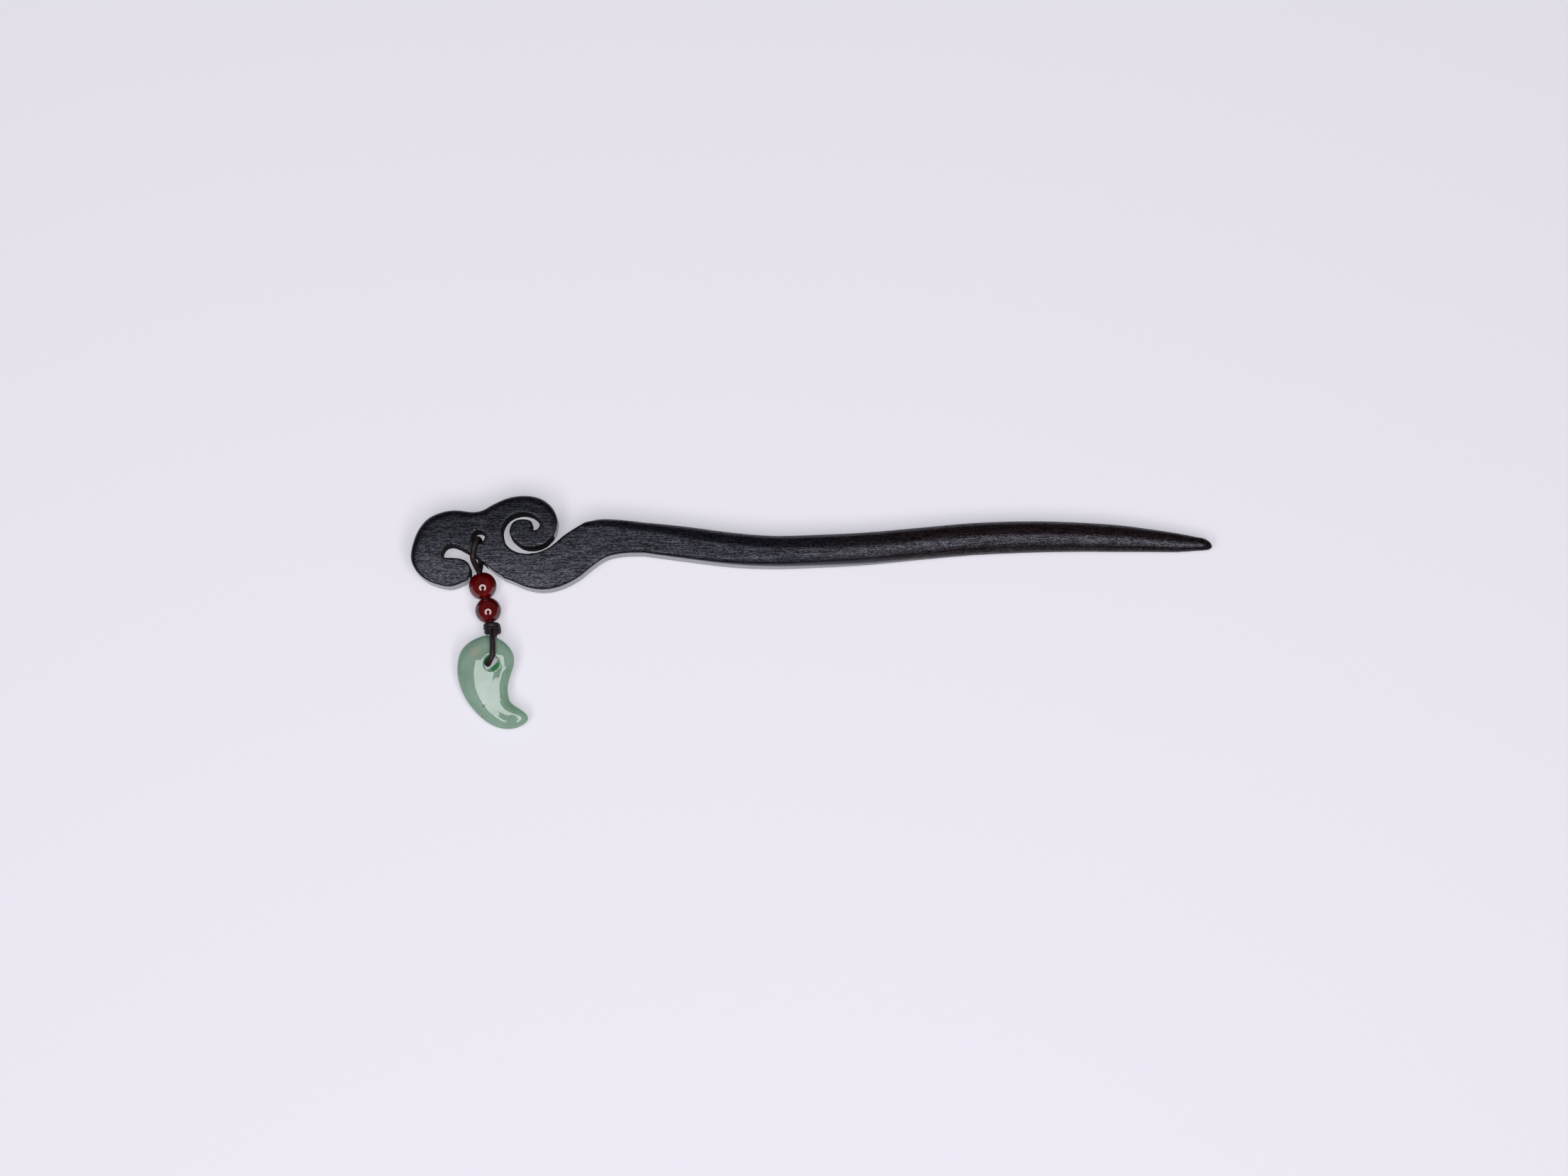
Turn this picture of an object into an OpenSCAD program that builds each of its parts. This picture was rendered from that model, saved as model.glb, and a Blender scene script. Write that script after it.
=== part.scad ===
// Carved hair stick with a cloud-scroll head and a beaded cord pendant.
// X runs along the stick towards its tip, Y across it, Z up from the surface it lies on.
// The origin is on the flat underside, near the middle of the stick.

/* [Stick] */
// Thickness of the carved board
stick_t = 7; // [6.5:0.1:7.5]
// Diameter of the cord hole in the head
cord_hole_d = 2.8; // [2.6:0.1:3]
// Depth of the relief under the web, where the back strand of the cord lies
relief_t = 1.6; // [1.5:0.05:1.9]
// Width of that relief
relief_w = 2.6; // [2:0.1:3]

/* [Cord] */
// Diameter of the braided cord
cord_d = 1.3; // [1.1:0.05:1.35]
// Diameter of the doubled cord where the beads squeeze it
doubled_d = 2; // [1.8:0.05:2.1]
// Diameter of the wrapped knot
knot_d = 3.8; // [3.4:0.1:4]
// Number of turns in the knot
knot_turns = 3; // [3:1:4]

/* [Beads] */
// Diameter of the upper bead
upper_bead_d = 6.2; // [6:0.05:6.3]
// Diameter of the lower bead
lower_bead_d = 5.8; // [5.6:0.05:6]
// Diameter of the hole through each bead
bead_bore_d = 2.2; // [2.15:0.05:2.3]
// Angle between the string of beads and the Y axis
string_angle = 13; // [12:0.5:14]

/* [Pendant] */
// Greatest thickness of the comma-shaped pendant
pendant_t = 4.8; // [4.4:0.1:4.8]
// Tilt of the pendant, which lies on its cord at one end and on the surface at the other
pendant_tilt = 6.5; // [6:0.5:7]
// Roll of the pendant, whose left side lies lower than its right side
pendant_roll = 4; // [3:0.5:5]
// Diameter of the hole in the pendant
pendant_hole_d = 3.6; // [3.5:0.05:3.7]

/* [Hidden] */

// Curve fineness: steps between two points of an outline, a cut, the shaft and a cord
outline_steps = 3;
cut_steps = 3;
shaft_steps = 4;
cord_steps = 2;
tube_sides = 8;
// How far a cutting body passes the faces that it cuts
over = 1;

// The cord hole and the string of beads
cord_hole = [-74.4, 2.6];
upper_bead_at = [-73.6, -8, 3.1];
string_dir = [sin(string_angle), -cos(string_angle), 0];
bead_gap = 0.04;
upper_bead_half = sqrt(pow(upper_bead_d, 2) - pow(bead_bore_d, 2)) / 2;
lower_bead_half = sqrt(pow(lower_bead_d, 2) - pow(bead_bore_d, 2)) / 2;
lower_bead_on = upper_bead_half + bead_gap + lower_bead_half;
knot_on = lower_bead_on + lower_bead_half + bead_gap;
knot_pitch = 0.75;
knot_l = cord_d + (knot_turns - 1) * knot_pitch;
core_on = -upper_bead_half;

// Outer outline of the head, without its two cuts: x, y and the softness of the top edge.
// It starts on the neck's upper side, goes over the two lobes and ends on the neck's lower side.
neck_upper = [
    [-37.5, 6.1, 2.2], [-42, 6.6, 2], [-46.8, 6.8, 1.7], [-50, 6.2, 1.2], [-53, 5.4, 0.5],
];
lobes = [
    [-56.7, 5.4, 0.4], [-57.15, 7.6, 0.9], [-58.4, 9.7, 1.2],
    [-60.8, 11.4, 1.3], [-64, 12, 1.3], [-67.6, 11.6, 1.3], [-71, 10.2, 1.3],
    [-73.6, 8.7, 1.2], [-76, 8.3, 1.2], [-79.5, 8.7, 1.2], [-82.6, 8.3, 1.3],
    [-85.6, 7, 1.4], [-87.6, 4.8, 1.4], [-88.8, 2.2, 1.3], [-89.5, -1, 1.1],
    [-89.2, -3.4, 0.9], [-87.6, -5.8, 0.5], [-85, -7.6, 0.3], [-81.4, -8.6, 0.3],
    [-79.3, -8.3, 0.3], [-77.7, -7.6, 0.3], [-76.6, -7.2, 0.3],
];
belly = [
    [-71.6, -6, 0.3], [-67.5, -7.1, 0.3], [-64, -8.6, 0.3],
    [-60.2, -9.3, 0.3], [-56.2, -8.6, 0.3], [-52.2, -6.6, 0.3], [-49, -4, 0.3],
    [-45.8, -1.9, 0.4], [-42, -1.1, 0.5], [-37.5, -1, 0.6],
];
// The flat faces are fans round two middles. The line between the two fans runs from the first
// point of the lobes to this point of the belly.
head_middle = [-75, 1];
neck_middle = [-50, 0];
belly_split = 3;
base_soft = 0.4;

// The scroll slit, which opens between the right lobe and the neck: its outer side, then its inner one
scroll_outer = [
    [-49.2, 7.3], [-50.7, 6], [-52.2, 5], [-53.8, 4], [-55.4, 2.9], [-57, 1.5], [-58.8, 0.1], [-61.2, -0.9], [-64, -1.2],
    [-66.5, -0.6], [-68.3, 1], [-69.1, 3.6], [-68.7, 5.6], [-67.2, 7.3],
    [-64.7, 8], [-62.3, 7.5], [-60.9, 6], [-61, 4.6], [-62, 4],
];
scroll_inner = [
    [-62, 4], [-62.8, 4.6], [-62.4, 5.5], [-63, 6.3], [-64.8, 6.6],
    [-66.6, 6], [-67.5, 4.4], [-67.3, 2.8], [-66, 1.4], [-64.3, 0.4],
    [-62.2, 0.2], [-60, 0.8], [-58.5, 2], [-57.3, 3.6], [-57, 5], [-56.6, 6.8],
];
// The hooked notch under the web: the curl's side, then the web's side
curl_side = [
    [-78, -8.8], [-77.2, -7.4], [-76.5, -6.4], [-76.1, -5.1], [-76.4, -3.7],
    [-77.4, -2.7], [-79.2, -2.2], [-82.2, -2.1],
];
web_side = [
    [-82.2, -2.1], [-82.5, -0.9], [-81.9, 0.4], [-80.6, 0.9], [-79, 0.5],
    [-77, -0.6], [-74.6, -2.2], [-72.4, -3.9], [-70.5, -5.4], [-69, -6.3], [-68.2, -7.6],
];

// The shaft: x, y of the upper side, y of the lower side, thickness, height of the underside,
// softness of the upper, lower and bottom edges as a part of the half width
shaft = [
    [-28, 5.2, -2.3, 1, 0, 0.75, 0.25, 0.12],
    [-18, 3.9, -3.5, 1, 0, 0.8, 0.35, 0.14],
    [-9, 3.2, -3.9, 1, 0, 0.85, 0.5, 0.2],
    [0, 3.4, -3.7, 1, 0, 0.9, 0.65, 0.3],
    [12, 4, -3.1, 0.98, 0, 0.9, 0.8, 0.45],
    [24, 5.1, -2, 0.95, 0, 0.9, 0.85, 0.6],
    [36, 6.2, -1, 0.92, 0, 0.9, 0.9, 0.75],
    [48, 6.6, -0.5, 0.89, 0.1, 0.9, 0.9, 0.85],
    [58, 6.4, -0.3, 0.84, 0.2, 0.9, 0.9, 0.9],
    [68, 5.8, -0.3, 0.76, 0.35, 0.9, 0.9, 0.9],
    [76, 4.8, -0.3, 0.65, 0.6, 0.9, 0.9, 0.9],
    [82, 3.9, -0.3, 0.52, 0.9, 0.9, 0.9, 0.9],
    [86, 3.1, 0, 0.42, 1.2, 0.9, 0.9, 0.9],
];
tip_end = [89.5, 1];
tip_rounds = [0.35, 0.65, 0.88];

// Profile of an edge: share of the softness inwards, share of the softness down or up
bottom_arc = [[1, 0], [0.3, 0.3], [0, 1]];
top_arc = [[0, 1], [0.08, 0.62], [0.29, 0.29], [0.62, 0.08], [1, 0]];
rows = len(bottom_arc) + len(top_arc);

// The pendant's left and right sides and its half thickness as a part of the greatest
pendant_ribs = [
    [-72.4, -19.2, -72.4, -19.2, 0],
    [-74.3, -19.7, -70.3, -19.8, 0.4],
    [-76.8, -21, -68.2, -21.1, 0.72],
    [-78.5, -23.1, -66.6, -23.3, 0.92],
    [-79.1, -25.8, -66.4, -25.6, 1],
    [-79, -28.4, -67.1, -28, 1],
    [-78.2, -31.3, -67.7, -30.2, 1],
    [-76.5, -34.4, -67.7, -32.2, 1],
    [-74, -37.2, -67.3, -33.8, 0.97],
    [-71.4, -39.1, -66.5, -34.7, 0.93],
    [-68.6, -40, -65.2, -35.5, 0.85],
    [-66, -39.8, -64, -36.4, 0.68],
    [-64.1, -38.9, -63.4, -37.1, 0.4],
    [-63.2, -37.9, -63.2, -37.9, 0],
];
pendant_hole = [-71.3, -25.7, 3.75];
pendant_sides = 20;
pendant_squareness = 2.4;

// Route of the cord round the web of the head, from the upper bead and back to it
head_route = [
    [-74.5, -4.7, 3.9], [-74.9, -4, 5], [-75.3, -3.2, 6.4], [-75.6, -2.2, 7.7],
    [-75.5, -0.6, 7.8], [-75.1, 0.8, 7.85], [-74.7, 1.9, 7.3], [-74.5, 2.2, 5.6],
    [-74.4, 2.2, 3.6], [-74.4, 2.2, 2.2], [-74.3, 1.7, 1], [-74.3, 0.6, 0.7],
    [-74.3, -1.2, 0.7], [-74.3, -3, 0.8], [-74.4, -4.1, 1.5], [-74.4, -4.6, 2.2],
];
// Route of the cord through the pendant, from the knot and back to it
pendant_route = [
    [-71.2, -19.6, 5.9], [-71.1, -20.3, 6.8], [-71, -21.5, 7], [-71, -22.8, 7.2],
    [-71.1, -24.1, 7.1], [-71.6, -25, 6.8], [-72.2, -25.5, 5.6], [-72.3, -25.5, 3.8],
    [-72.3, -25.3, 1.8], [-72, -24.4, 0.8], [-71.6, -23, 0.7], [-71.4, -21.7, 0.7],
    [-71.3, -20.5, 0.9], [-71.2, -19.7, 1.5],
];

// ---- curves ----
function part_way(a, b, c, d, t) =
    0.5 * (2 * b + (c - a) * t + (2 * a - 5 * b + 4 * c - d) * t * t
    + (3 * b - a - 3 * c + d) * t * t * t);
function at(p, i) = p[max(0, min(len(p) - 1, i))];
function curve(p, steps) = concat(
    [for (i = [0:len(p) - 2], s = [0:steps - 1])
        part_way(at(p, i - 1), p[i], p[i + 1], at(p, i + 2), s / steps)],
    [p[len(p) - 1]]);
function flat(v) = [v[0], v[1]];
function unit(v) = v / norm(v);
function without_first(p) = [for (i = [1:len(p) - 1]) p[i]];

// ---- the stick ----
neck_curve = curve(neck_upper, outline_steps);
lobes_curve = curve(lobes, outline_steps);
head = concat(neck_curve, lobes_curve, curve(belly, outline_steps));
head_count = len(head);
split_upper = len(neck_curve);
split_lower = split_upper + len(lobes_curve) + belly_split * outline_steps;
left_loop = [for (i = [split_upper:split_lower]) i];
right_loop = [for (i = [split_lower:head_count + split_upper]) i % head_count];

// Direction into the wood at a point of the head's outline
function inwards(i) =
    i == 0 ? [0, -1] : i == head_count - 1 ? [0, 1]
    : let (t = unit(flat(head[i + 1]) - flat(head[i - 1]))) [-t[1], t[0]];

// The points of one edge profile, from the underside to the top, around a point of the outline
function edge(p, into, soft_in, soft_down, base_in, base_up, low, high) = concat(
    [for (a = bottom_arc) [p[0], p[1], low + a[1] * base_up] + a[0] * base_in * [into[0], into[1], 0]],
    [for (a = top_arc) [p[0], p[1], high - a[1] * soft_down] + a[0] * soft_in * [into[0], into[1], 0]]);

function head_edge(i) =
    edge(head[i], inwards(i), head[i][2], head[i][2], base_soft, base_soft, 0, stick_t);

// The neck's own section starts the shaft's table, and rounded stations close it at the tip
half_neck = (head[0][1] - head[head_count - 1][1]) / 2;
neck_station = [
    head[0][0], head[0][1], head[head_count - 1][1], 1, 0,
    head[0][2] / half_neck, head[head_count - 1][2] / half_neck, base_soft / half_neck,
];
shaft_curve = curve(concat([neck_station], shaft), shaft_steps);
last_station = shaft_curve[len(shaft_curve) - 1];
tip_x = last_station[0];
tip_bottom = last_station[4];
tip_height = last_station[3] * stick_t;

// How far the rounded end has closed at a share s of its length
function closing(s) = sqrt(1 - s * s);
function tip_station(s) =
    let (
        x = tip_x + s * (tip_end[0] - tip_x),
        middle = (last_station[1] + last_station[2]) / 2 * (1 - s * s) + tip_end[1] * s * s,
        half = (last_station[1] - last_station[2]) / 2 * closing(s),
        height = last_station[3] * closing(s)
    )
    [x, middle + half, middle - half, height,
        tip_bottom + (tip_height - height * stick_t) / 2, 0.9, 0.9, 0.9];
stations = concat(without_first(shaft_curve), [for (s = tip_rounds) tip_station(s)]);

// A station's section: the upper side's edge profile, then the lower side's
function section(s) =
    let (
        half = (s[1] - s[2]) / 2,
        tall = min(1, s[3]) * stick_t,
        low = max(0, s[4]),
        blend_up = min(0.48 * tall, s[5] * half * 0.9),
        blend_low = min(0.48 * tall, s[6] * half * 0.9),
        blend_base = min(0.48 * tall, s[7] * half * 0.9)
    )
    concat(
        edge([s[0], s[1]], [0, -1], s[5] * half, blend_up, s[7] * half, blend_base, low, low + tall),
        edge([s[0], s[2]], [0, 1], s[6] * half, blend_low, s[7] * half, blend_base, low, low + tall));

head_points = [for (i = [0:head_count - 1]) each head_edge(i)];
shaft_points = [for (s = stations) each section(s)];
first_shaft = len(head_points);
left_under = first_shaft + len(shaft_points);
left_top = left_under + 1;
right_under = left_under + 2;
right_top = left_under + 3;
tip_point = left_under + 4;

function head_at(i, k) = i * rows + k;
// Station 0 is the neck's section, whose points belong to the head
function shaft_at(j, side, k) =
    j == 0 ? head_at(side == 0 ? 0 : head_count - 1, k)
    : first_shaft + ((j - 1) * 2 + side) * rows + k;
function quad(a, b, c, d) = [[a, b, c], [a, c, d]];

// A fan over a closed loop of outline points, on the top or on the underside
function top_fan(loop, middle) = [
    for (n = [0:len(loop) - 1])
        [middle, head_at(loop[(n + 1) % len(loop)], rows - 1), head_at(loop[n], rows - 1)],
];
function under_fan(loop, middle) = [
    for (n = [0:len(loop) - 1])
        [middle, head_at(loop[n], 0), head_at(loop[(n + 1) % len(loop)], 0)],
];

head_faces = [
    for (i = [0:head_count - 2], k = [0:rows - 2])
        each quad(head_at(i, k), head_at(i, k + 1), head_at(i + 1, k + 1), head_at(i + 1, k)),
    each top_fan(left_loop, left_top),
    each top_fan(right_loop, right_top),
    each under_fan(left_loop, left_under),
    each under_fan(right_loop, right_under),
];
shaft_faces = [
    for (j = [0:len(stations) - 1], k = [0:rows - 2])
        each concat(
            quad(shaft_at(j, 0, k), shaft_at(j + 1, 0, k),
                shaft_at(j + 1, 0, k + 1), shaft_at(j, 0, k + 1)),
            quad(shaft_at(j, 1, k), shaft_at(j, 1, k + 1),
                shaft_at(j + 1, 1, k + 1), shaft_at(j + 1, 1, k))),
    for (j = [0:len(stations) - 1])
        each concat(
            quad(shaft_at(j, 0, rows - 1), shaft_at(j + 1, 0, rows - 1),
                shaft_at(j + 1, 1, rows - 1), shaft_at(j, 1, rows - 1)),
            quad(shaft_at(j, 0, 0), shaft_at(j, 1, 0), shaft_at(j + 1, 1, 0), shaft_at(j + 1, 0, 0))),
];
end_j = len(stations);
tip_faces = [
    for (k = [0:rows - 2]) [tip_point, shaft_at(end_j, 0, k + 1), shaft_at(end_j, 0, k)],
    for (k = [0:rows - 2]) [tip_point, shaft_at(end_j, 1, k), shaft_at(end_j, 1, k + 1)],
    [tip_point, shaft_at(end_j, 1, rows - 1), shaft_at(end_j, 0, rows - 1)],
    [tip_point, shaft_at(end_j, 0, 0), shaft_at(end_j, 1, 0)],
];

module stick_blank() {
    polyhedron(
        concat(head_points, shaft_points, [
            [head_middle[0], head_middle[1], 0],
            [head_middle[0], head_middle[1], stick_t],
            [neck_middle[0], neck_middle[1], 0],
            [neck_middle[0], neck_middle[1], stick_t],
            [tip_end[0], tip_end[1], tip_bottom + tip_height / 2],
        ]),
        concat(head_faces, shaft_faces, tip_faces));
}

module through_cut(side_a, side_b) {
    translate([0, 0, -over])
        linear_extrude(stick_t + 2 * over)
            polygon(concat(curve(side_a, cut_steps), without_first(curve(side_b, cut_steps))));
}

module web_relief() {
    reach = 8;
    translate([cord_hole[0], cord_hole[1], -over])
        linear_extrude(relief_t + over)
            union() {
                circle(d = relief_w, $fn = 48);
                translate([-relief_w / 2, -reach])
                    square([relief_w, reach]);
            }
}

module hair_stick() {
    color("#26262c")
        difference() {
            stick_blank();
            through_cut(scroll_outer, scroll_inner);
            through_cut(curl_side, web_side);
            translate([cord_hole[0], cord_hole[1], -over])
                cylinder(d = cord_hole_d, h = stick_t + 2 * over, $fn = 48);
            web_relief();
        }
}

// ---- cords ----
// A round tube along a route; the ring's first spoke is the X direction square to the route
function tangent(p, i) = unit(at(p, i + 1) - at(p, i - 1));
function ring(p, i, r) =
    let (
        t = tangent(p, i),
        u = unit([1, 0, 0] - t[0] * t),
        v = cross(t, u)
    )
    [for (k = [0:tube_sides - 1])
        let (a = 360 * k / tube_sides)
        p[i] + r * (cos(a) * u + sin(a) * v)];

module tube(route, d) {
    p = curve(route, cord_steps);
    last = len(p) - 1;
    n = tube_sides;
    polyhedron(
        [for (i = [0:last]) each ring(p, i, d / 2)],
        concat(
            [[for (k = [0:n - 1]) k]],
            [for (i = [0:last - 1], k = [0:n - 1])
                each quad(i * n + k, (i + 1) * n + k, (i + 1) * n + (k + 1) % n, i * n + (k + 1) % n)],
            [[for (k = [n - 1:-1:0]) last * n + k]]));
}

// Places a child, modelled along +Z, on the string of beads at a distance from the upper bead
module on_string(distance) {
    translate(upper_bead_at + distance * string_dir)
        rotate([90, 0, string_angle])
            children();
}

module head_loop() {
    color("#2a1c1a")
        tube(head_route, cord_d);
}

module bead_cord() {
    color("#2a1c1a")
        on_string(core_on)
            cylinder(d = doubled_d, h = knot_on - core_on, $fn = 48);
}

module knot() {
    color("#2a1c1a")
        on_string(knot_on)
            rotate_extrude($fn = 48)
                intersection() {
                    union() {
                        for (i = [0:knot_turns - 1])
                            translate([(knot_d - cord_d) / 2, cord_d / 2 + i * knot_pitch])
                                circle(d = cord_d, $fn = 48);
                        square([(knot_d - cord_d) / 2, knot_l]);
                    }
                    square([knot_d, knot_l]);
                }
}

module pendant_loop() {
    color("#2a1c1a")
        tube(pendant_route, cord_d);
}

// ---- beads ----
module bead(d) {
    rotate_extrude($fn = 96)
        difference() {
            circle(d = d, $fn = 96);
            translate([-d, -d])
                square([d + bead_bore_d / 2, 2 * d]);
        }
}

module upper_bead() {
    color("#7a0c0c")
        on_string(0)
            bead(upper_bead_d);
}

module lower_bead() {
    color("#7a0c0c")
        on_string(lower_bead_on)
            bead(lower_bead_d);
}

// ---- the pendant ----
pendant_curve = curve(pendant_ribs, outline_steps);
rib_count = len(pendant_curve) - 2;

// Height of the pendant's middle plane at a point
function lie(p) = pendant_hole[2] + (p[1] - pendant_hole[1]) * tan(pendant_tilt)
    + (p[0] - pendant_hole[0]) * tan(pendant_roll);
// A signed power keeps the oval's quarters alike
function bulge(v) = sign(v) * pow(abs(v), 2 / pendant_squareness);
function rib(r) =
    let (
        left = [r[0], r[1]],
        right = [r[2], r[3]],
        middle = (left + right) / 2,
        half = (right - left) / 2
    )
    [for (k = [0:pendant_sides - 1])
        let (a = 360 * k / pendant_sides, p = middle + bulge(cos(a)) * half)
        [p[0], p[1], lie(p) + bulge(sin(a)) * r[4] * pendant_t / 2]];

module pendant_blank() {
    n = pendant_sides;
    first = pendant_curve[0];
    end = pendant_curve[rib_count + 1];
    polyhedron(
        concat(
            [for (i = [1:rib_count]) each rib(pendant_curve[i])],
            [[first[0], first[1], lie([first[0], first[1]])], [end[0], end[1], lie([end[0], end[1]])]]),
        concat(
            [for (i = [0:rib_count - 2], k = [0:n - 1])
                each quad(i * n + k, (i + 1) * n + k, (i + 1) * n + (k + 1) % n, i * n + (k + 1) % n)],
            [for (k = [0:n - 1]) [rib_count * n, k, (k + 1) % n]],
            [for (k = [0:n - 1])
                [rib_count * n + 1, (rib_count - 1) * n + (k + 1) % n, (rib_count - 1) * n + k]]));
}

module jade_pendant() {
    color("#86a593")
        difference() {
            pendant_blank();
            translate([pendant_hole[0], pendant_hole[1], -over])
                cylinder(d = pendant_hole_d, h = 2 * pendant_t, $fn = 48);
        }
}

hair_stick();
head_loop();
bead_cord();
upper_bead();
lower_bead();
knot();
pendant_loop();
jade_pendant();
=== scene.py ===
import math

import bmesh
import bpy
from bpy.props import FloatProperty, FloatVectorProperty, IntProperty, PointerProperty
from mathutils import Matrix, Vector


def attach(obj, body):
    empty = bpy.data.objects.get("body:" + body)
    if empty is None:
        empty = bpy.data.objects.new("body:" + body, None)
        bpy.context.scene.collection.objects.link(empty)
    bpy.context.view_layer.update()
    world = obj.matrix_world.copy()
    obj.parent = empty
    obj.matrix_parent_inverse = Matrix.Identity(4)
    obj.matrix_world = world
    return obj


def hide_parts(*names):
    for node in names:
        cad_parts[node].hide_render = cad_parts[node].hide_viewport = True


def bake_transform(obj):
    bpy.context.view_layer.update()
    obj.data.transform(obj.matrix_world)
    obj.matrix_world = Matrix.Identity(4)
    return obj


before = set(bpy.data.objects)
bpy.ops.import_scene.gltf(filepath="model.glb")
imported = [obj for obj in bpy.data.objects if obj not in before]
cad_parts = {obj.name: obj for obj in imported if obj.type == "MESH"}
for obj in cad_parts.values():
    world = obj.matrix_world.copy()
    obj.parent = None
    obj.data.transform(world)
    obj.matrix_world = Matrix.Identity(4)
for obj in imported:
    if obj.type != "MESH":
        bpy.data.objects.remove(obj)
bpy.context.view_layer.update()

bl_info = {
    "name": "Carved hair stick",
    "version": (1, 0, 0),
    "blender": (4, 5, 0),
    "location": "View3D > Sidebar > Hair stick",
    "description": "Builds a carved hair stick with its cord, agate beads and jade pendant",
    "category": "Object",
}

MM = 0.001
# Points closer than this are merged: in a CAD mesh, and along the seam of a spun bead
SAME_CAD_POINT = 0.002 * MM
SAME_SEAM_POINT = 0.001 * MM

# The string of beads: its upper bead's centre, its direction away from the head, and the
# directions to its right and up. Places on it are in mm from the upper bead's centre
STRING_ANGLE = math.radians(13)
UPPER_BEAD_AT = Vector((-73.6, -8, 3.1))
STRING = Vector((math.sin(STRING_ANGLE), -math.cos(STRING_ANGLE), 0))
RIGHT = Vector((math.cos(STRING_ANGLE), math.sin(STRING_ANGLE), 0))
UP = Vector((0, 0, 1))

# The two strands inside the beads: their places along the string from inside the knot to the
# head, and how far to the side of the bores' middle each of them lies
INSIDE_BEADS = (9.9, 7.6, 5.6, 3, 0, -2)
FRONT_STRAND = {"right": -0.12, "up": 0.51}
BACK_STRAND = {"right": 0.12, "up": -0.51}
# The gap between the two beads, measured along the string
BEAD_GAP = 0.04

# The cord round the web of the head and the cord through the pendant, as the CAD routes them
HEAD_ROUTE = [
    (-74.5, -4.7, 3.9), (-74.9, -4, 5), (-75.3, -3.2, 6.4), (-75.6, -2.2, 7.7),
    (-75.5, -0.6, 7.8), (-75.1, 0.8, 7.85), (-74.7, 1.9, 7.3), (-74.5, 2.2, 5.6),
    (-74.4, 2.2, 3.6), (-74.4, 2.2, 2.2), (-74.3, 1.7, 1), (-74.3, 0.6, 0.7),
    (-74.3, -1.2, 0.7), (-74.3, -3, 0.8), (-74.4, -4.1, 1.5), (-74.4, -4.6, 2.2),
]
PENDANT_ROUTE = [
    (-71.2, -19.6, 5.9), (-71.1, -20.3, 6.8), (-71, -21.5, 7), (-71, -22.8, 7.2),
    (-71.1, -24.1, 7.1), (-71.6, -25, 6.8), (-72.2, -25.5, 5.6), (-72.3, -25.5, 3.8),
    (-72.3, -25.3, 1.8), (-72, -24.4, 0.8), (-71.6, -23, 0.7), (-71.4, -21.7, 0.7),
    (-71.3, -20.5, 0.9), (-71.2, -19.7, 1.5),
]
# The way of the pendant's cord out of the knot, as place along the string and height
OUT_OF_KNOT = ((9.3, 0), (9.8, 0.7), (10.3, 1.5))
# The knot's winding, from the strand that comes back from the pendant up to the tucked-in end:
# turn in degrees from the right side over the front, place along the string, radius
KNOT_WINDING = [
    (-60, 10.7, 0.8), (0, 10.8, 1.2), (60, 10.8, 1.35), (110, 10.6, 1.35), (180, 10.3, 1.3),
    (270, 10.1, 1.2), (360, 10.2, 1.3), (430, 10, 1.35), (480, 9.8, 1.35), (540, 9.5, 1.3),
    (630, 9.5, 1.2), (720, 9.5, 1.3), (790, 9.2, 1.3), (840, 9.0, 1.3), (900, 8.95, 1.2),
    (980, 9.1, 0.9),
]
# The degrees between the winding's filled-in points, and the place where its end is tucked in
WINDING_STEP = 30
KNOT_MIDDLE = 9.4

# The hole in the pendant: its middle at half its depth, its radius, half its depth, and how far
# around it the stone still changes with it
PENDANT_HOLE = (-71.3, -25.7, 3.75)
HOLE_RADIUS = 1.8
HOLE_HALF_DEPTH = 2.3
HOLE_SPREAD = 0.8

# Marks on the surfaces, each as x, y and radius in mm: the slits of the stick, whose walls get
# painted shade, and the pendant's pinkish blush, brown iron specks and small dark dots
SHADED_SLITS = [
    (-64.3, 3.4, 6.6), (-58, 0.5, 3), (-79.5, -1.5, 4), (-75.2, -3.6, 3.4), (-74.4, 2.6, 2.4),
]
BLUSH = [(-75.2, -23.2, 1.6), (-74.2, -22.6, 1.2)]
IRON_SPECKS = [
    (-69.3, -33.2, 0.5), (-69.1, -32.9, 0.3), (-73, -35.1, 0.55), (-72.7, -34.9, 0.35),
    (-73.4, -37.3, 0.4), (-69.6, -28.5, 0.3),
]
DARK_DOTS = [(-69.1, -25.1, 0.13), (-76.9, -31.8, 0.13), (-73.9, -32.4, 0.12)]
# The middle of the head's face, where its slight dome is highest
HEAD_MIDDLE = (-66, 0.5, 0)

# The stage, in metres: the middle of the view, the floor, and the ring light overhead with the
# half angle of its opening and its place from the middle of the view
VIEW_MIDDLE = Vector((-6.35, -8, 0)) * MM
FLOOR_SIZE, FLOOR_DROP = 5, 0.02 * MM
RING_OUTER, RING_INNER, RING_SIDES = 0.53, 0.25, 72
RING_HALF_OPENING = math.radians(28)
RING_PLACE = Vector((-0.02, -0.37, 0.875))
RING_TILT = math.radians(23)

# How finely the cords are made: points in each span of a route, sides of the tube, threads of
# the braid, rings of the tube in the length where two threads cross, and rings between two
# points of the path that braided_tube gives back
SPAN_POINTS = 24
CORD_SIDES = 64
BRAID_THREADS = 8
RINGS_PER_CROSSING = 8
RINGS_PER_PATH_POINT = 6
# A hollow of the braid lies at this share of the cord's radius
HOLLOW = 0.86


def linear(colour):
    """Turns an sRGB hex colour, such as "ebe9f4", to linear red, green, blue and alpha."""
    parts = [int(colour[i:i + 2], 16) / 255 for i in (0, 2, 4)]
    return tuple(c / 12.92 if c <= 0.04045 else ((c + 0.055) / 1.055) ** 2.4 for c in parts) + (1,)


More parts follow.
